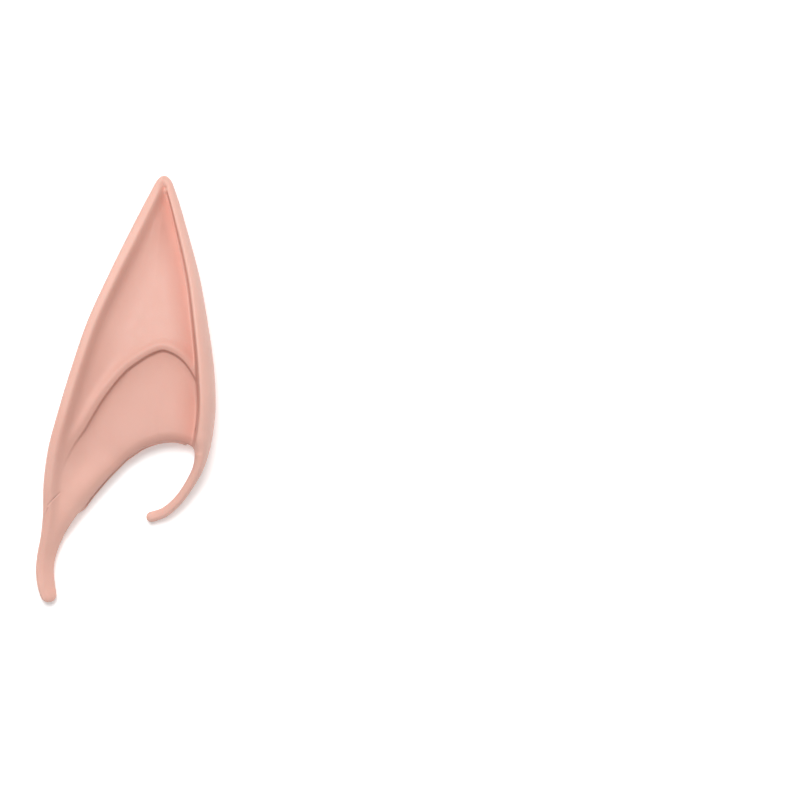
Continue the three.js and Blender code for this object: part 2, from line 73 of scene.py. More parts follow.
# Inner fold with its step, the fall below it and the bead above it, which lies and spreads over
# shares of its width, then the ridge beside the mouth and the mouth's lip
FOLD_STEP = 1.2
FOLD_STEP_WIDTH = 0.8
FOLD_STEP_LEAD = 0.2
FOLD_FALL = 1.6
FOLD_FALL_REACH = 4
FOLD_RECOVERY = 0.2
FOLD_RECOVERY_START = 3
FOLD_RECOVERY_REACH = 12
FOLD_BEAD = 0.9
FOLD_BEAD_WIDTH = 3.5
FOLD_BEAD_MIDDLE = 0.4
FOLD_BEAD_SPREAD = 0.42
MOUTH_RIDGE = 0.8
LIP_CURL = 1.3
LIP_RADIUS = 2.6
LIP_BULGE = 0.3

# Stations and samples. A section as long as a rod has evenly rounded steps, and one longer than that
# by the blend has steps that follow its form. The pocket opens where the lip's share is large enough
STATION_SPACING = 0.8
FINE_SPACING_ROWS = 4
TRACE_STEPS = 6
SEARCH_STEPS = 48
SIDE_STATIONS = 9
ROD_LENGTH = 3.2
ROD_BLEND = 4
POCKET_OPENS = 0.85
END_ANGLES = (22.5, 45, 67.5, 80)
PLACES_AT_ONCE = 5000

# Painted shade in the hollow: how far in from the outline and up from the tail it begins and over
# what distance it spreads, its share away from the hook side's rim and how far it is darker beside
# that
HOLLOW_INSET = 2.6
HOLLOW_INSET_REACH = 3.5
HOLLOW_START = 32
HOLLOW_START_REACH = 14
HOLLOW_SHADE_SHARE = 0.55
HOLLOW_SHADE_DARK_REACH = 13

# Latex: its lightly mottled colours, two hairline creases above the tail as lines in plan, pores and
# slight waves
RIM_COLOURS = ((0.83, 0.48, 0.395, 1), (0.86, 0.515, 0.43, 1))
# The second pair is painted shade: darker copies of the latex colours for the hollow
HOLLOW_SHADE_COLOURS = ((0.665, 0.355, 0.29, 1), (0.69, 0.38, 0.315, 1))
BLUSH_SCALE = 38
FRECKLE_SCALE = 420
PORE_SCALE = 1500
CREASES = [
    ((-18.0, -28.9), (-19.4, -30.3), (-21.1, -32.2)),
    ((-21.1, -33.1), (-21.9, -34.9), (-22.8, -37.0)),
]
CREASE_WIDTH = 0.2 * MM
CREASE_DEPTH = 0.14 * MM
PORE_DEPTH = 0.012 * MM
WAVE_HEIGHT = 0.12 * MM
WAVE_LENGTH = 14 * MM
LATEX_SEED = 7

# Table, whose top lies a hair below the ear and glows a little, and light
TABLE_SIDE = 6.0
TABLE_DROP = 0.02 * MM
TABLE_GLOW = 0.28
ROOM_LIGHT = 0.27
KEY_PLACE = (-0.04, 0.5, 1.35)
KEY_SIZE = 0.6
KEY_POWER = 17.6


def table(names, rows):
    """A table's columns by name."""
    return dict(zip(names.split(), np.array(rows, float).T))


# Sections from the hook's end over the tip to the tail's end. x and y place the outer edge, and
# mouthX and mouthY the inner edge, as shares of the ear's width and length from its left and its
# tail end. reach is how far a section runs straight in, as a share of the width. girth is a share
# of the hook's or the tail's thickness. crest, parting and back are the heights of the rim's top,
# the outline and the back, as shares of CREST_HEIGHT. rim, ridge and open are the shares of the
# rim's widths, of MOUTH_RIDGE and of the pocket's lip that a section has.
HOOK_SECTIONS = table(
    "x y girth crest parting back",
    [
        (0.649, 0.193, 1.05, 0.22, 0.12, 0.02),
        (0.726, 0.206, 0.98, 0.28, 0.18, 0.08),
        (0.811, 0.238, 0.91, 0.38, 0.27, 0.16),
        (0.884, 0.28, 0.95, 0.5, 0.37, 0.24),
        (0.931, 0.315, 1.06, 0.62, 0.43, 0.27),
    ],
)
BLADE_SECTIONS = table(
    "x y mouthX mouthY reach crest parting back rim ridge open",
    [
        (0.96, 0.35, 0.8835, 0.346, 0.035, 0.74, 0.44, 0.18, 1, 0, 0),
        (0.98, 0.387, 0.88, 0.3635, 0.045, 0.86, 0.43, 0.05, 1, 0, 0.5),
        (0.999, 0.456, 0.847, 0.3742, 0.08, 0.96, 0.42, 0, 1, 0, 1),
        (0.991, 0.5515, 0.809, 0.3812, 0.12, 1, 0.43, 0, 0.98, 0, 1),
        (0.96, 0.649, 0.765, 0.3847, 0.165, 0.97, 0.45, 0, 0.86, 0, 1),
        (0.911, 0.765, 0.721, 0.3845, 0.165, 0.86, 0.46, 0, 0.72, 0, 1),
        (0.8455, 0.869, 0.677, 0.3814, 0.12, 0.72, 0.46, 0.02, 0.62, 0, 1),
        (0.782, 0.957, 0.638, 0.3763, 0.05, 0.57, 0.4, 0.08, 0.54, 0, 1),
        (0.746, 0.9923, 0.6135, 0.3724, 0.022, 0.48, 0.35, 0.14, 0.46, 0, 1),
        (0.715, 1, 0.589, 0.3673, 0.02, 0.44, 0.32, 0.17, 0.5, 0, 1),
        (0.683, 0.9923, 0.567, 0.3612, 0.022, 0.48, 0.35, 0.14, 0.64, 0, 1),
        (0.636, 0.957, 0.539, 0.3531, 0.05, 0.56, 0.41, 0.08, 0.86, 0, 1),
        (0.53, 0.869, 0.501, 0.3413, 0.13, 0.69, 0.47, 0.02, 1, 0, 1),
        (0.411, 0.765, 0.457, 0.323, 0.175, 0.81, 0.5, 0, 1, 0.1, 1),
        (0.3, 0.6605, 0.407, 0.3016, 0.187, 0.88, 0.52, 0, 1, 0.3, 1),
        (0.2155, 0.556, 0.355, 0.2768, 0.18, 0.92, 0.53, 0, 1, 0.7, 1),
        (0.14, 0.452, 0.3055, 0.2517, 0.165, 0.91, 0.52, 0, 1, 1, 1),
        (0.082, 0.3635, 0.2615, 0.2267, 0.143, 0.83, 0.48, 0, 1, 1, 0.97),
        (0.0525, 0.28, 0.223, 0.205, 0.1, 0.68, 0.38, 0, 0.94, 1, 0.72),
        (0.0455, 0.215, 0.19, 0.1849, 0.077, 0.53, 0.29, 0, 0.86, 0.9, 0.3),
        (0.0297, 0.1617, 0.152, 0.1582, 0.055, 0.42, 0.21, 0, 0.8, 0.7, 0),
    ],
)
TAIL_SECTIONS = table(
    "x y girth crest parting back",
    [
        (0.0093, 0.12, 1.01, 0.34, 0.18, 0),
        (0, 0.0805, 0.98, 0.3, 0.16, 0),
        (0.0083, 0.0434, 0.96, 0.28, 0.15, 0),
        (0.026, 0.018, 0.88, 0.26, 0.14, 0),
    ],
)

# Floor of the hollow inside the rim, from the tail's end to the tip, in the same shares
FLOOR = table(
    "y height",
    [
        (0, 0.15),
        (0.104, 0.19),
        (0.173, 0.3),
        (0.243, 0.41),
        (0.3125, 0.52),
        (0.382, 0.6),
        (0.475, 0.63),
        (0.591, 0.62),
        (0.707, 0.54),
        (0.823, 0.45),
        (0.94, 0.4),
        (1, 0.4),
    ],
)

# Lower edge of the inner fold, from the hook side's rim over its arch and down towards the tail
FOLD = table(
    "x y strength",
    [
        (0.913, 0.512, 1),
        (0.844, 0.561, 1),
        (0.787, 0.5825, 1),
        (0.715, 0.594, 1),
        (0.648, 0.585, 1),
        (0.581, 0.568, 1),
        (0.502, 0.542, 1),
        (0.385, 0.481, 0.95),
        (0.284, 0.41, 0.75),
        (0.226, 0.375, 0.4),
        (0.16, 0.322, 0.1),
        (0.111, 0.271, 0),
    ],
)

HOOK_ROOT = len(HOOK_SECTIONS["x"])
SIZE = np.array([EAR_WIDTH, EAR_LENGTH])


def rod(rows, thickness, rim, ridge):
    """Rows of a thin part, whose inner edge lies a thickness of its own in from the outer one."""
    width = rows["girth"] * thickness
    same = np.ones_like(width)
    rest = {"rim": rim * same, "ridge": ridge * same, "open": 0 * same}
    return {**rows, **rest, "width": width, "reach": 0.5 * width / EAR_WIDTH}


SECTION_PARTS = [
    rod(HOOK_SECTIONS, HOOK_THICKNESS, rim=1, ridge=0),
    BLADE_SECTIONS,
    rod(TAIL_SECTIONS, TAIL_WIDTH, rim=0.78, ridge=0.5),
]
SECTIONS = {
    name: np.concatenate([part[name] for part in SECTION_PARTS])
    for name in ("x", "y", "reach", "crest", "parting", "back", "rim", "ridge", "open")
}
LAST_SECTION = len(SECTIONS["x"]) - 1
TIP_SECTION = int(np.argmax(SECTIONS["y"]))


def clamp(values):
    return np.clip(values, 0, 1)


def lerp(start, end, share):
    return start + (end - start) * share


def ease(values):
    share = clamp(values)
    return share * share * (3 - 2 * share)


def quarter_round(share):
    """Height share of a quarter round at a share of the way in from its edge."""
    return np.sqrt(1 - (1 - clamp(share)) ** 2)


def between_rows(values, at):
    """Smooth values of a column at row numbers, which may lie between two rows."""
    row = np.clip(np.floor(at).astype(int), 0, len(values) - 2)
    padded = np.concatenate([values[:1], values, values[-1:]])
    before, start, end, after = (padded[row + step] for step in range(4))
    t = at - row
    bend = 2 * before - 5 * start + 4 * end - after
    twist = 3 * (start - end) + after - before
    return start + 0.5 * t * (end - before + t * (bend + t * twist))


def along_curve(points, at):
    """Places on the smooth curve through some points, at their row numbers."""
    at = np.atleast_1d(at).astype(float)
    row = np.clip(np.floor(at).astype(int), 0, len(points) - 2)
    padded = np.vstack([2 * points[0] - points[1], points, 2 * points[-1] - points[-2]])
    a, b, c, d = (padded[row + step] for step in range(4))
    gap_a, gap_b, gap_c = (
        np.sqrt(np.linalg.norm(end - start, axis=1))[:, None]
        for start, end in ((a, b), (b, c), (c, d))
    )
    start_slope = ((b - a) / gap_a - (c - a) / (gap_a + gap_b) + (c - b) / gap_b) * gap_b
    end_slope = ((c - b) / gap_b - (d - b) / (gap_b + gap_c) + (d - c) / gap_c) * gap_b
    t = (at - row)[:, None]
    bend = 3 * (c - b) - 2 * start_slope - end_slope
    twist = 2 * (b - c) + start_slope + end_slope
    return b + t * (start_slope + t * (bend + t * twist))


OUTER = np.column_stack([SECTIONS["x"], SECTIONS["y"]]) * SIZE


def inward(at):
    """Directions at right angles to the outer edge, into the ear."""
    step = 0.003
    behind = along_curve(OUTER, np.clip(np.atleast_1d(at) - step, 0, LAST_SECTION))
    ahead = along_curve(OUTER, np.clip(np.atleast_1d(at) + step, 0, LAST_SECTION))
    along = ahead - behind
    along /= np.linalg.norm(along, axis=1)[:, None]
    return np.column_stack([-along[:, 1], along[:, 0]])


def inner_points():
    """The inner edge's points: a rod's thickness inside the outer edge, or the mouth's own."""
    hook, blade, tail = SECTION_PARTS
    straight_in = inward(np.arange(LAST_SECTION + 1))
    mouth = np.column_stack([blade["mouthX"], blade["mouthY"]]) * SIZE
    tail_start = HOOK_ROOT + len(mouth)
    return np.vstack([
        OUTER[:HOOK_ROOT] + straight_in[:HOOK_ROOT] * hook["width"][:, None],
        mouth,
        OUTER[tail_start:] + straight_in[tail_start:] * tail["width"][:, None],
    ])


INNER = inner_points()


class Paths:
    """The sections' paths in plan: straight in from the outer edge, then round to the inner edge."""

    SAMPLES = np.linspace(0, 1, 65)

    def __init__(self, at):
        self.at = np.atleast_1d(at).astype(float)
        self.outer = along_curve(OUTER, self.at)
        self.inner = along_curve(INNER, self.at)
        reach = between_rows(SECTIONS["reach"], self.at) * EAR_WIDTH
        self.elbow = self.outer + inward(self.at) * reach[:, None]
        samples = self.bezier(np.tile(self.SAMPLES, (len(self.at), 1)))
        pieces = np.linalg.norm(np.diff(samples, axis=1), axis=2)
        self.run = np.hstack([np.zeros((len(self.at), 1)), np.cumsum(pieces, axis=1)])
        self.length = self.run[:, -1]
        out = self.inner - self.elbow
        self.leaving = out / np.linalg.norm(out, axis=1)[:, None]

    def bezier(self, t):
        t = t[:, :, None]
        outer, elbow, inner = (side[:, None, :] for side in (self.outer, self.elbow, self.inner))
        return outer * (1 - t) ** 2 + elbow * 2 * t * (1 - t) + inner * t * t

    def places(self, distances):
        """Places at distances from the outer edge. A path runs on straight past the inner edge."""
        t = np.array([np.interp(row, run, self.SAMPLES) for row, run in zip(distances, self.run)])
        past = np.maximum(0, distances - self.length[:, None])
        return self.bezier(t) + self.leaving[:, None, :] * past[:, :, None]


class Spot:
    """The closest spots on an edge to some places."""

    def __init__(self, distance, side, piece, share, values):
        self.distance = distance
        self.side = side
        self.piece = piece
        self.share = share
        self.values = values

    def value(self, name):
        column = self.values[name]
        return lerp(column[self.piece], column[self.piece + 1], self.share)


class Edge:
    """A line in plan as short straight pieces, with values along it."""

    def __init__(self, points, rows, names, first, last):
        at = np.linspace(first, last, (last - first) * TRACE_STEPS + 1)
        self.points = along_curve(points, at)
        self.values = {name: between_rows(rows[name], at) for name in names}
        self.at = at

    def nearest(self, places):
        blocks = np.array_split(places, len(places) // PLACES_AT_ONCE + 1)
        found = [self.nearest_in(block) for block in blocks]
        distance, side, piece, share = (np.concatenate(values) for values in zip(*found))
        return Spot(distance, side, piece, share, self.values)

    def nearest_in(self, places):
        start = self.points[:-1]
        run = np.diff(self.points, axis=0)
        x = places[:, :1] - start[:, 0]
        y = places[:, 1:] - start[:, 1]
        share = clamp((x * run[:, 0] + y * run[:, 1]) / (run**2).sum(axis=1))
        squared = (x - share * run[:, 0]) ** 2 + (y - share * run[:, 1]) ** 2
        piece = squared.argmin(axis=1)
        each = np.arange(len(places))
        cross = run[piece, 0] * y[each, piece] - run[piece, 1] * x[each, piece]
        side = np.where(cross > 0, 1.0, -1.0)
        return np.sqrt(squared[each, piece]), side, piece, share[each, piece]


def section_edge(points, first, last):
    edge = Edge(points, SECTIONS, ("crest", "parting", "back", "rim", "ridge", "open"), first, last)
    edge.values["length"] = Paths(edge.at).length
    return edge


HOOK_OUTER_EDGE = section_edge(OUTER, 0, TIP_SECTION)
BLADE_OUTER_EDGE = section_edge(OUTER, HOOK_ROOT, TIP_SECTION)
LONG_SIDE_EDGE = section_edge(OUTER, TIP_SECTION, LAST_SECTION)
INNER_EDGE = section_edge(INNER, 0, LAST_SECTION)
FOLD_POINTS = np.column_stack([FOLD["x"], FOLD["y"]]) * SIZE
FOLD_EDGE = Edge(FOLD_POINTS, FOLD, ("strength",), 0, len(FOLD_POINTS) - 1)


# Heights of the front and the back


def floor_height(y):
    share = clamp(y / EAR_LENGTH)
    at = np.interp(share, FLOOR["y"], np.arange(len(FLOOR["y"])))
    return CREST_HEIGHT * between_rows(FLOOR["height"], at)


def limit_round(radius, length):
    """A rounding's width, which is a share of the length in a narrow section."""
    return np.minimum(radius, NARROW_SHARE * length)


def rim_shape(rim, spot):
    """The shares of a rim's height and of the sunk floor at a distance in from the outer edge."""
    scale = spot.value("rim")
    past = np.maximum(0, spot.distance - rim["top"] * scale)
    steep = np.exp(-((past / (rim["fall"] * scale)) ** rim["crisp"]))
    gentle = (1 - ease(past / (rim["reach"] * scale))) ** 2
    rise = rim["steep"] * steep + (1 - rim["steep"]) * gentle
    return rise, rim["sink"] * (1 - clamp(past / rim["reach"])) ** 2


def inner_floor(places, mouth):
    """Floor inside the rim with the fold's bead and step and the ridge beside the mouth."""
    fold = FOLD_EDGE.nearest(places)
    past = fold.distance * fold.side
    step = FOLD_STEP * ease(past / FOLD_STEP_WIDTH + FOLD_STEP_LEAD)
    fall = FOLD_FALL * (1 - np.exp(-np.maximum(past, 0) / FOLD_FALL_REACH))
    recovery = 1 - FOLD_RECOVERY * ease((past - FOLD_RECOVERY_START) / FOLD_RECOVERY_REACH)
    across_bead = (past / FOLD_BEAD_WIDTH + FOLD_BEAD_MIDDLE) / FOLD_BEAD_SPREAD
    relief = FOLD_BEAD * np.exp(-(across_bead**2)) - (step + fall) * recovery
    ridge_middle = limit_round(1.2 * LIP_RADIUS, mouth.value("length"))
    ridge = np.exp(-((mouth.distance / ridge_middle - 1) ** 2))
    floor = floor_height(places[:, 1])
    return floor + fold.value("strength") * relief + MOUTH_RIDGE * mouth.value("ridge") * ridge


def surface_at(places, hook_side_edge):
    """Front and back heights at places in plan."""
    hook_side = hook_side_edge.nearest(places)
    long_side = LONG_SIDE_EDGE.nearest(places)
    mouth = INNER_EDGE.nearest(places)
    on_hook_side = hook_side.distance < long_side.distance
    apart = np.maximum(hook_side.distance + long_side.distance, 1e-9)
    hook_share = long_side.distance / apart

    def near(hook_value, long_value):
        return np.where(on_hook_side, hook_value, long_value)

    def height(name, share):
        return CREST_HEIGHT * lerp(long_side.value(name), hook_side.value(name), share)

    hook_rim, hook_sink = rim_shape(HOOK_SIDE_RIM, hook_side)
    long_rim, long_sink = rim_shape(LONG_SIDE_RIM, long_side)
    floor = inner_floor(places, mouth) - hook_sink - long_sink
    hook_rise = np.maximum(0, CREST_HEIGHT * hook_side.value("crest") - floor) * hook_rim
    long_rise = np.maximum(0, CREST_HEIGHT * long_side.value("crest") - floor) * long_rim
    top = floor + (hook_rise**RIM_UNION + long_rise**RIM_UNION) ** (1 / RIM_UNION)

    from_outside = near(hook_side.distance * hook_side.side, long_side.distance * long_side.side)
    length = near(hook_side.value("length"), long_side.value("length"))
    hook_round = HOOK_SIDE_RIM["round"] * hook_side.value("rim")
    long_round = LONG_SIDE_RIM["round"] * long_side.value("rim")
    edge_round = limit_round(near(hook_round, long_round), length)
    from_mouth = -mouth.distance * mouth.side
    mouth_length = mouth.value("length")
    opening = clamp(mouth.value("open"))
    parting = height("parting", hook_share)
    inner_parting = CREST_HEIGHT * mouth.value("parting")

    rounded = lerp(parting, top, quarter_round(from_outside / edge_round))
    lip = clamp(from_mouth / limit_round(LIP_RADIUS, mouth_length))
    lip_shape = lerp(quarter_round(lip), 1 - (1 - lip) ** 2, opening)
    lip_height = lerp(inner_parting, rounded - LIP_CURL, opening)
    front = lerp(lip_height, rounded, lip_shape)

    outer_back = quarter_round(from_outside / limit_round(BACK_ROUND, length))
    inner_back = quarter_round(from_mouth / limit_round(BACK_ROUND, mouth_length))
    under = lerp(parting, np.maximum(0, height("back", hook_share**6)), outer_back)
    back = lerp(inner_parting, under, lerp(inner_back, 1, opening))
    return front, back


def pocket_at(places):
    """Top and bottom of the pocket, which a ball as thick as the wall touches from inside."""
    top = np.full(len(places), np.inf)
    bottom = np.full(len(places), -np.inf)
    ball_side, side_rise = 0.8, 0.6
    ball = [(0, 0, 1)]
    for turn in np.arange(8) * np.pi / 4:
        ball.append((ball_side * np.cos(turn), ball_side * np.sin(turn), side_rise))
    for x, y, rise in ball:
        front, back = surface_at(places + WALL * np.array([x, y]), BLADE_OUTER_EDGE)
        top = np.minimum(top, front - WALL * rise)
        bottom = np.maximum(bottom, back + WALL * rise)
    return top, bottom


# Distances along the sections from the outer edge, close together where the surface turns


def evenly(count):
    return np.arange(1, count + 1) / count


def roundly(count):
    return 1 - np.cos(evenly(count) * np.pi / 2)


FRONT_STEPS = [roundly(7)] + [evenly(count) for count in (2, 9, 9, 7, 9, 8, 11, 8)]
BACK_STEPS = [roundly(8), evenly(8), evenly(3)]
LINING_STEPS = [evenly(3), evenly(3), evenly(5), evenly(3), evenly(3)]


def spread(marks, least):
    """Moves marks that lie too close apart, from the outside in and back again."""
    apart = list(marks)
    for index in range(1, len(apart) - 1):
        apart[index] = max(apart[index], apart[index - 1] + least)
    for index in range(len(apart) - 2, 0, -1):
        apart[index] = min(apart[index], apart[index + 1] - least)
    return apart


def fill(marks, steps):
    parts = [lerp(start, end, shares) for start, end, shares in zip(marks, marks[1:], steps)]
    return np.concatenate([[marks[0]], *parts])


def distances_between(marks, steps, length):
    """A narrow section's distances are those of a round rod, and a wide one's follow its marks."""
    wide = fill(spread(marks, 0.02 * length), steps)
    rounded = length * (1 - np.cos(np.linspace(0, np.pi, len(wide)))) / 2
    return lerp(rounded, wide, ease((length - ROD_LENGTH) / ROD_BLEND))


def front_marks(at, crossing, length):
    """Distances along a section at which the front's form changes."""
    rim = HOOK_SIDE_RIM if at < TIP_SECTION else LONG_SIDE_RIM
    scale = between_rows(SECTIONS["rim"], np.array([at]))[0]
    foot = (rim["top"] + 1.5 * rim["fall"]) * scale
    floor_end = (crossing or length) - FOLD_BEAD_WIDTH
    return [
        0,
        limit_round(rim["round"] * scale, length),
        rim["top"] * scale,
        foot,
        min(rim["top"] * scale + 0.8 * rim["reach"], (foot + floor_end) / 2),
        crossing - FOLD_BEAD_WIDTH,
        crossing - 0.3 * FOLD_STEP_WIDTH,
        crossing + FOLD_STEP_WIDTH,
        length - LIP_RADIUS,
        length,
    ]


def station_numbers():
    """Row numbers of the stations, about evenly spaced along the outer edge."""
    numbers = [np.zeros(1)]
    for row in range(LAST_SECTION):
        widens = HOOK_ROOT <= row < HOOK_ROOT + FINE_SPACING_ROWS
        spacing = (0.5 if widens else 1) * STATION_SPACING
        count = max(2, round(np.linalg.norm(OUTER[row + 1] - OUTER[row]) / spacing))
        numbers.append(row + evenly(count))
    return np.concatenate(numbers)


def search_places(paths):
    """Evenly spaced places along every section."""
    shares = np.linspace(0, 1, SEARCH_STEPS + 1)
    return paths.places(paths.length[:, None] * shares)


def fold_crossings(paths):
    """Distances at which the sections cross the fold. Past its lower end the last share stays."""
    places = search_places(paths)
    fold = FOLD_EDGE.nearest(places.reshape(-1, 2))
    past = (fold.distance * fold.side).reshape(places.shape[:2])
    shares = []
    for at, row in zip(paths.at, past):
        crossed = np.nonzero((row[:-1] < 0) & (row[1:] >= 0))[0]
        if len(crossed):
            index = crossed[0]
            shares.append((index + row[index] / (row[index] - row[index + 1])) / SEARCH_STEPS)
        else:
            shares.append(shares[-1] if at > TIP_SECTION else 0)
    return np.array(shares) * paths.length


def pocket_ends(paths):
    """Distances at which the pocket ends inside the ear, without sudden steps between stations."""
    places = search_places(paths)
    flat = places.reshape(-1, 2)
    top, bottom = pocket_at(flat)
    tip = OUTER[TIP_SECTION]
    closed = (top - bottom < POCKET_LEAST_GAP) | (np.linalg.norm(flat - tip, axis=1) < SOLID_TIP)
    closed = closed.reshape(places.shape[:2])
    last = [np.nonzero(row)[0][-1] if row.any() else -1 for row in closed]
    ends = paths.length * (np.array(last) + 1) / SEARCH_STEPS
    slack = 1.5 * STATION_SPACING
    for order in (range(1, len(ends)), range(len(ends) - 2, -1, -1)):
        for index in order:
            other = index - order.step
            if ends[other] < paths.length[other]:
                ends[index] = max(ends[index], ends[other] - slack)
    return ends


def pinch_sides(is_open):
    """The pocket's height share, which shrinks over its last few stations on either side."""
    pinch = np.ones(len(is_open))
    for order in (range(len(is_open)), range(len(is_open) - 1, -1, -1)):
        steps = 0
        for index in order:
            steps = steps + 1 if is_open[index] else 0
            pinch[index] = min(pinch[index], clamp((steps - 0.7 * (steps > 0)) / SIDE_STATIONS))
    return pinch


class Shell:
    """Numbered points, each one's share of painted shade and the faces between them."""

    def __init__(self):
        self.points = []
        self.hollow_shades = []
        self.faces = []

    def add(self, points, hollow_shades=None):
        first = len(self.points)
        self.points.extend(points)
        self.hollow_shades.extend(np.zeros(len(points)) if hollow_shades is None else hollow_shades)
        return list(range(first, len(self.points)))

    def face(self, *corners):
        different = list(dict.fromkeys(corners))
        if len(different) > 2:
            self.faces.append(different)

    def strip(self, row, following):
        for a, b, c, d in zip(row, following, following[1:], row[1:]):
            self.face(a, b, c, d)


def raised(places, heights):
    return np.column_stack([places, heights])


def hollow_shade_shares(places):
    """Share of painted shade at places on the front, from 0 on the rims and the tail to 1."""
    hook_side = HOOK_OUTER_EDGE.nearest(places).distance
    long_side = LONG_SIDE_EDGE.nearest(places).distance
    inward_share = ease((np.minimum(hook_side, long_side) - HOLLOW_INSET) / HOLLOW_INSET_REACH)
    upward_share = ease((places[:, 1] - HOLLOW_START) / HOLLOW_START_REACH)
    # Painted shade is deepest beside the hook side's rim, where the floor should lie in shade
    rim_side_shade = (1 - ease(hook_side / HOLLOW_SHADE_DARK_REACH)) * (hook_side < long_side)
    return inward_share * upward_share * lerp(HOLLOW_SHADE_SHARE, 1, rim_side_shade)


class Ear:
    """The ear's shell, made station by station."""

    def __init__(self):
        self.shell = Shell()
        self.paths = Paths(station_numbers())
        self.open = clamp(between_rows(SECTIONS["open"], self.paths.at))
        self.crossings = fold_crossings(self.paths)
        self.pocket_from = pocket_ends(self.paths)
        pocket_depth = self.paths.length - self.pocket_from
        has_pocket = (self.open > POCKET_OPENS) & (pocket_depth > 2 * WALL)
        self.pinch = pinch_sides(has_pocket)
        self.stretch = 1 + BACK_EDGE_SHOWING * self.open * self.pinch / self.paths.length
        stations = self.add_stations()
        for current, following in zip(stations, stations[1:]):
            self.link(current, following)
        self.add_end(stations[0], -self.heading(0), HOOK_END_ROUND, False)
        self.add_end(stations[-1], self.heading(LAST_SECTION), TAIL_END_ROUND, True)

    def heading(self, at):
        across = inward(at)[0]
        return np.array([across[1], -across[0], 0])

    def surface_rows(self, distances, side):
        """Every station's points on the front, side 0, or the back, side 1."""
        places = self.paths.places(distances)
        rows = []
        for is_hook, edge in ((True, HOOK_OUTER_EDGE), (False, BLADE_OUTER_EDGE)):
            chosen = places[(self.paths.at < HOOK_ROOT) == is_hook]
            heights = surface_at(chosen.reshape(-1, 2), edge)[side].reshape(chosen.shape[:2])
            rows.extend(raised(*pair) for pair in zip(chosen, heights))
        return rows

    def lining_rows(self):
        """The pocket's lining at every station, from the front's lip over its end to the back's."""
        lengths = self.paths.length
        distances = []
        for crossing, start, length in zip(self.crossings, self.pocket_from, lengths):
            start = min(start, 0.9 * length)
            marks = [
                start,
                start + HOOK_SIDE_RIM["top"],
                crossing - FOLD_BEAD_WIDTH,
                crossing + FOLD_STEP_WIDTH,
                length - LIP_RADIUS,
                length,
            ]
            distances.append(fill(spread(marks, 0.04 * (length - start)), LINING_STEPS))
        distances = np.array(distances)
        places = self.paths.places(distances)
        stretched = self.paths.places(distances * self.stretch[:, None])
        top, bottom = (side.reshape(distances.shape) for side in pocket_at(places.reshape(-1, 2)))
        middle = (top + bottom) / 2
        pinch = self.pinch[:, None]
        tops, bottoms = lerp(middle, top, pinch), lerp(middle, bottom, pinch)
        rows = []
        for index in range(len(distances)):
            upper = raised(places[index, 1:], tops[index, 1:])
            end = raised(places[index, :1], middle[index, :1])
            lower = raised(stretched[index, 1:], bottoms[index, 1:])
            rows.append(np.vstack([upper[::-1], end, lower]))
        return rows

    def add_stations(self):
        paths = self.paths
        front_distances = []
        back_distances = []
        for at, crossing, length in zip(paths.at, self.crossings, paths.length):
            marks = front_marks(at, crossing, length)
            front_distances.append(distances_between(marks, FRONT_STEPS, length))
            marks = [0, limit_round(BACK_ROUND, length), length - LIP_RADIUS, length]
            back_distances.append(distances_between(marks, BACK_STEPS, length))
        front_distances = np.array(front_distances)
        back_distances = np.array(back_distances)
        fronts = self.surface_rows(front_distances, 0)
        backs = self.surface_rows(back_distances * self.stretch[:, None], 1)
        linings = self.lining_rows()
        stations = []
        for index, (front, back, lining) in enumerate(zip(fronts, backs, linings)):
            front_ids = self.shell.add(front, hollow_shade_shares(front[:, :2]))
            if self.pinch[index] == 0:
                back_ids = [front_ids[0], *self.shell.add(back[1:-1]), front_ids[-1]]
                stations.append((front_ids, back_ids, None))
                continue
            back_ids = [front_ids[0], *self.shell.add(back[1:])]
            bulge = LIP_BULGE * WALL * self.open[index] * self.pinch[index]
            shift = np.append(self.paths.leaving[index] * bulge, 0)
            front_lip = lerp(front[-1], lining[0], 0.5) + shift
            back_lip = lerp(back[-1], lining[-1], 0.5) + shift
            inside = self.shell.add([front_lip, *lining, back_lip])
            stations.append((front_ids, back_ids, [front_ids[-1], *inside, back_ids[-1]]))
        return stations

    def link(self, current, following):
        front, back, lining = current
        next_front, next_back, next_lining = following
        self.shell.strip(front, next_front)
        self.shell.strip(next_back, back)
        if lining and next_lining:
            self.shell.strip(lining, next_lining)
        elif next_lining:
            self.close_pocket(next_lining, front[-1], True)
        elif lining:
            self.close_pocket(lining, next_front[-1], False)

    def close_pocket(self, lining, corner, forward):
        """Web from the two lips to the corner beside them, and the wall across the pocket's end."""
        turn = 1 if forward else -1
        rim = [*lining[:3], *lining[-3:]]
        for start, end in zip(rim, rim[1:]):
            self.shell.face(*(corner, start, end)[::turn])
        for a, b, c, d in zip(lining[2:], lining[3:], lining[-4::-1], lining[-3::-1]):
            if a >= c:
                break
            self.shell.face(*(a, b, c, d)[::turn])

    def add_end(self, station, heading, radius, forward):
        """Rounded end of the hook or the tail, from its last ring to a pole."""
        front, back, _ = station
        outline = [*front, *back[-2:0:-1]]
        points = np.array([self.shell.points[index] for index in outline])
        centre = points.mean(axis=0)
        ring = [*outline, outline[0]]
        for angle in np.radians(END_ANGLES):
            spots = lerp(centre, points, np.cos(angle)) + heading * radius * np.sin(angle)
            ids = self.shell.add(spots)
            self.link_rings(ring, [*ids, ids[0]], forward)
            ring = [*ids, ids[0]]
        pole = self.shell.add([centre + heading * radius])[0]
        self.link_rings(ring, [pole] * len(ring), forward)

    def link_rings(self, ring, following, forward):
        self.shell.strip(*((ring, following) if forward else (following, ring)))


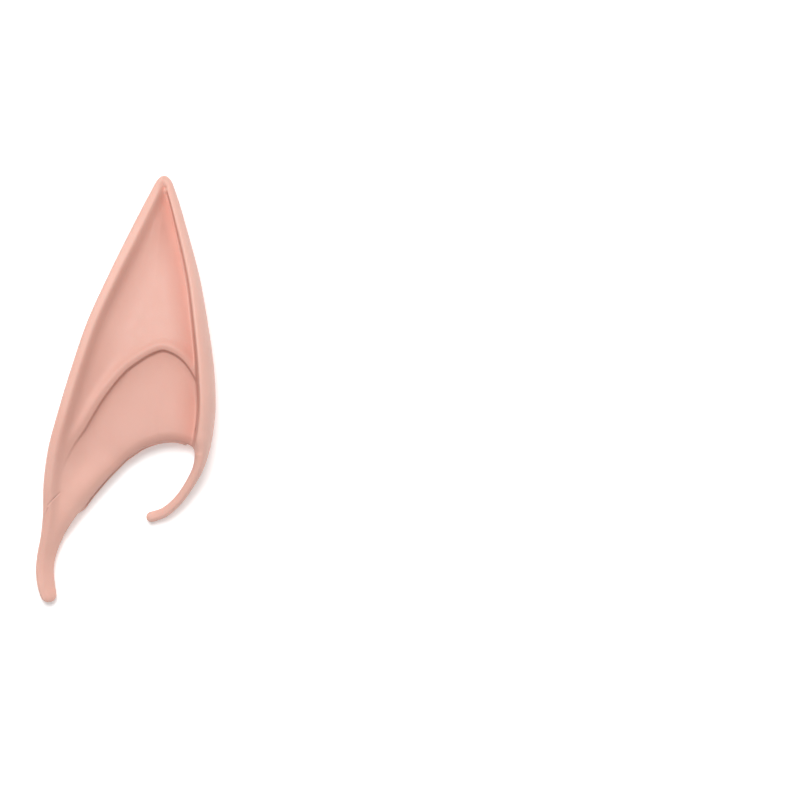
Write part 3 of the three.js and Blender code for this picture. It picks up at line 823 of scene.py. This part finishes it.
class Value:
    """A node's output. Python's operators on it add Math nodes."""

    def __init__(self, graph, socket):
        self.graph = graph
        self.socket = socket

    def math(self, operation, *values):
        return self.graph.node("ShaderNodeMath", dict(enumerate(values)), operation=operation)

    def __add__(self, other):
        return self.math("ADD", self, other)

    def __radd__(self, other):
        return self.math("ADD", other, self)

    def __sub__(self, other):
        return self.math("SUBTRACT", self, other)

    def __rsub__(self, other):
        return self.math("SUBTRACT", other, self)

    def __mul__(self, other):
        return self.math("MULTIPLY", self, other)

    def __rmul__(self, other):
        return self.math("MULTIPLY", other, self)

    def __truediv__(self, other):
        return self.math("DIVIDE", self, other)

    def __rtruediv__(self, other):
        return self.math("DIVIDE", other, self)

    def __neg__(self):
        return self.math("MULTIPLY", self, -1)


class Graph:
    """A shader or geometry tree under construction."""

    def __init__(self, tree):
        self.tree = tree

    def node(self, kind, inputs=None, output=0, **settings):
        """Adds a node. Its settings come first, because they decide which sockets it has."""
        node = self.tree.nodes.new(kind)
        for name, value in settings.items():
            setattr(node, name, value)
        for name, value in (inputs or {}).items():
            self.feed(node.inputs[name], value)
        return Value(self, node.outputs[output] if node.outputs else None)

    def feed(self, socket, value):
        if isinstance(value, Value):
            self.tree.links.new(value.socket, socket)
        else:
            socket.default_value = value


def ramp_between(value, low, high):
    """A smooth rise from 0 to 1 while the value goes from low to high."""
    inputs = {"Value": value, "From Min": low, "From Max": high}
    return value.graph.node("ShaderNodeMapRange", inputs, interpolation_type="SMOOTHSTEP")


# Latex skin


def crease_shape(graph, place):
    """How deep in a crease a place lies, from 0 to 1."""
    x = graph.node("ShaderNodeSeparateXYZ", {"Vector": place}, output="X")
    y = graph.node("ShaderNodeSeparateXYZ", {"Vector": place}, output="Y")
    shape = 0
    for crease in np.array(CREASES) * MM:
        for (start_x, start_y), (end_x, end_y) in zip(crease.tolist(), crease[1:].tolist()):
            run_x, run_y = end_x - start_x, end_y - start_y
            along = ((x - start_x) * run_x + (y - start_y) * run_y) / (run_x**2 + run_y**2)
            share = graph.node("ShaderNodeClamp", {"Value": along})
            away_x = x - start_x - share * run_x
            away_y = y - start_y - share * run_y
            away = (away_x * away_x + away_y * away_y) / CREASE_WIDTH**2
            shape = away.math("MAXIMUM", away.math("EXPONENT", -away), shape)
    return shape


def latex_material():
    material = bpy.data.materials.new("skin_latex")
    material.use_nodes = True
    tree = material.node_tree
    tree.nodes.clear()
    graph = Graph(tree)
    place = graph.node("ShaderNodeTexCoord", output="Object")

    def noise(scale, detail=2.0, roughness=0.5):
        inputs = {"Vector": place, "Scale": scale, "Detail": detail, "Roughness": roughness}
        return graph.node("ShaderNodeTexNoise", inputs)

    def mix(factor, first, second):
        inputs = {"Factor": factor, 6: first, 7: second}
        return graph.node("ShaderNodeMix", inputs, output=2, data_type="RGBA")

    blush = ramp_between(noise(BLUSH_SCALE), 0.35, 0.68)
    freckle = ramp_between(noise(FRECKLE_SCALE, 3.0, 0.6), 0.3, 0.7)
    mottle = blush * 0.75 + freckle * 0.25
    # The hollow attribute mixes in painted shade: darker copies of the latex colours
    hollow = graph.node("ShaderNodeAttribute", output="Fac", attribute_name="hollow")
    colour = mix(hollow, mix(mottle, *RIM_COLOURS), mix(mottle, *HOLLOW_SHADE_COLOURS))
    pores = noise(PORE_SCALE, roughness=0.6) * 0.6 + noise(FRECKLE_SCALE) * 0.4
    height = pores * (PORE_DEPTH / MM) - crease_shape(graph, place) * (CREASE_DEPTH / MM)
    bump = graph.node("ShaderNodeBump", {"Height": height, "Strength": 1.0, "Distance": MM})
    inputs = {
        "Base Color": colour,
        "Roughness": 0.5 + 0.1 * freckle,
        "IOR": 1.45,
        "Specular IOR Level": 0.4,
        "Subsurface Weight": 0.15,
        "Subsurface Radius": (1.0, 0.42, 0.28),
        "Subsurface Scale": 1.2 * MM,
        "Normal": bump,
    }
    shader = graph.node("ShaderNodeBsdfPrincipled", inputs)
    graph.node("ShaderNodeOutputMaterial", {"Surface": shader})
    return material


# Ear


def skin_tree(latex):
    """Geometry nodes that give the moulded shell's front its slight waves."""
    tree = bpy.data.node_groups.new("latex_skin", "GeometryNodeTree")
    sizes = {
        "Wave Height": WAVE_HEIGHT,
        "Wave Length": WAVE_LENGTH,
        "Seed": float(LATEX_SEED),
    }
    tree.interface.new_socket("Shell", in_out="INPUT", socket_type="NodeSocketGeometry")
    for name in sizes:
        tree.interface.new_socket(name, in_out="INPUT", socket_type="NodeSocketFloat")
    tree.interface.new_socket("Skin", in_out="OUTPUT", socket_type="NodeSocketGeometry")
    graph = Graph(tree)
    given = tree.nodes.new("NodeGroupInput").outputs
    size = {name: Value(graph, given[name]) for name in sizes}

    shell = Value(graph, given["Shell"])
    place = graph.node("GeometryNodeInputPosition")
    normal = graph.node("GeometryNodeInputNormal")
    facing = graph.node("ShaderNodeSeparateXYZ", {"Vector": normal}, output="Z")
    waves = graph.node(
        "ShaderNodeTexNoise",
        {"Vector": place, "W": size["Seed"], "Scale": 1 / size["Wave Length"], "Detail": 1.0},
        noise_dimensions="4D",
    )
    lift = size["Wave Height"] * (waves - 0.5)
    front = ramp_between(facing, 0.1, 0.6)
    offset = graph.node("ShaderNodeCombineXYZ", {"Z": lift * front})
    moved = graph.node("GeometryNodeSetPosition", {"Geometry": shell, "Offset": offset})
    rounded = graph.node("GeometryNodeSetShadeSmooth", {0: moved})
    whole = graph.node("GeometryNodeRealizeInstances", {0: rounded})
    painted = graph.node("GeometryNodeSetMaterial", {"Geometry": whole, "Material": latex})
    graph.node("NodeGroupOutput", {"Skin": painted})
    return tree, sizes


def ear_mesh(cad_box):
    """The ear's shell in metres, with its box inside the solid's and centred over its base."""
    shell = Ear().shell
    points = np.array(shell.points)
    lowest, highest = np.array(cad_box[0]), np.array(cad_box[1])
    points -= (points.min(axis=0) + points.max(axis=0)) / 2
    points *= ((highest - lowest) / np.ptp(points, axis=0)).min()
    points[:, :2] += ((lowest + highest) / 2)[:2]
    points[:, 2] += lowest[2] - points[:, 2].min()
    mesh = bpy.data.meshes.new("ear")
    mesh.from_pydata(points.tolist(), [], shell.faces)
    # Each point's share of painted shade, for the latex material
    mesh.attributes.new("hollow", "FLOAT", "POINT").data.foreach_set("value", shell.hollow_shades)
    return mesh


def make_ear(cad_box, latex):
    ear = bpy.data.objects.new("ear", ear_mesh(cad_box))
    bpy.context.scene.collection.objects.link(ear)
    tree, sizes = skin_tree(latex)
    modifier = ear.modifiers.new("skin", "NODES")
    modifier.node_group = tree
    sockets = {item.name: item.identifier for item in tree.interface.items_tree}
    for name, value in sizes.items():
        modifier[sockets[name]] = value
    bpy.context.view_layer.update()
    evaluated = ear.evaluated_get(bpy.context.evaluated_depsgraph_get())
    skin = bpy.data.meshes.new_from_object(evaluated)
    ear.modifiers.clear()
    ear.data = skin
    return ear


# Table, light and camera


def make_table():
    material = bpy.data.materials.new("white_table")
    material.use_nodes = True
    shader = material.node_tree.nodes["Principled BSDF"]
    shader.inputs["Base Color"].default_value = (0.97, 0.97, 0.97, 1)
    shader.inputs["Roughness"].default_value = 0.9
    shader.inputs["Specular IOR Level"].default_value = 0.1
    shader.inputs["Emission Color"].default_value = (1, 1, 1, 1)
    shader.inputs["Emission Strength"].default_value = TABLE_GLOW
    end = TABLE_SIDE / 2
    mesh = bpy.data.meshes.new("table")
    square = [(-end, -end, 0), (end, -end, 0), (end, end, 0), (-end, end, 0)]
    mesh.from_pydata(square, [], [(0, 1, 2, 3)])
    mesh.materials.append(material)
    top = bpy.data.objects.new("table", mesh)
    top.location.z = -TABLE_DROP
    bpy.context.scene.collection.objects.link(top)
    return top


def add_light(name, place, size, power):
    lamp = bpy.data.lights.new(name, "AREA")
    lamp.shape = "SQUARE"
    lamp.size = size
    lamp.energy = power
    light = bpy.data.objects.new(name, lamp)
    light.location = place
    light.rotation_euler = (-Vector(place)).to_track_quat("-Z", "Y").to_euler()
    bpy.context.scene.collection.objects.link(light)


def light_room():
    world = bpy.data.worlds.new("soft_room")
    world.use_nodes = True
    background = world.node_tree.nodes["Background"]
    background.inputs["Color"].default_value = (1, 1, 1, 1)
    background.inputs["Strength"].default_value = ROOM_LIGHT
    bpy.context.scene.world = world
    add_light("key", KEY_PLACE, KEY_SIZE, KEY_POWER)


def place_camera():
    camera = bpy.data.cameras.new("camera")
    holder = bpy.data.objects.new("camera", camera)
    x = (PHOTO_SIDE / 2 - EAR_MIDDLE_PIXEL[0]) * PIXEL
    y = (EAR_MIDDLE_PIXEL[1] - PHOTO_SIDE / 2) * PIXEL
    holder.location = (x, y, CAMERA_HEIGHT + LOOK_HEIGHT)
    camera.sensor_width = SENSOR_WIDTH
    camera.lens = SENSOR_WIDTH * CAMERA_HEIGHT / (PHOTO_SIDE * PIXEL)
    bpy.context.scene.collection.objects.link(holder)
    bpy.context.scene.camera = holder


def corners(bounds):
    return [[round(value, 6) for value in corner] for corner in bounds]


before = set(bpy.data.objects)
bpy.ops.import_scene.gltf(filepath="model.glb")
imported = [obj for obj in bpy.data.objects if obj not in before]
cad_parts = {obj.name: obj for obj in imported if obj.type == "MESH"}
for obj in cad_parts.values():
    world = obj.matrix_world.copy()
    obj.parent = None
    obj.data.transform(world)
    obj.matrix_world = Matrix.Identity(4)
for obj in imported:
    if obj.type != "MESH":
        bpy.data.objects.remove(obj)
cad_box = corners(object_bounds())

ear = make_ear(cad_box, latex_material())
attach(ear, "root")
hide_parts("ear_shell")

make_table()
light_room()
place_camera()
bpy.context.scene.view_settings.view_transform = "Standard"
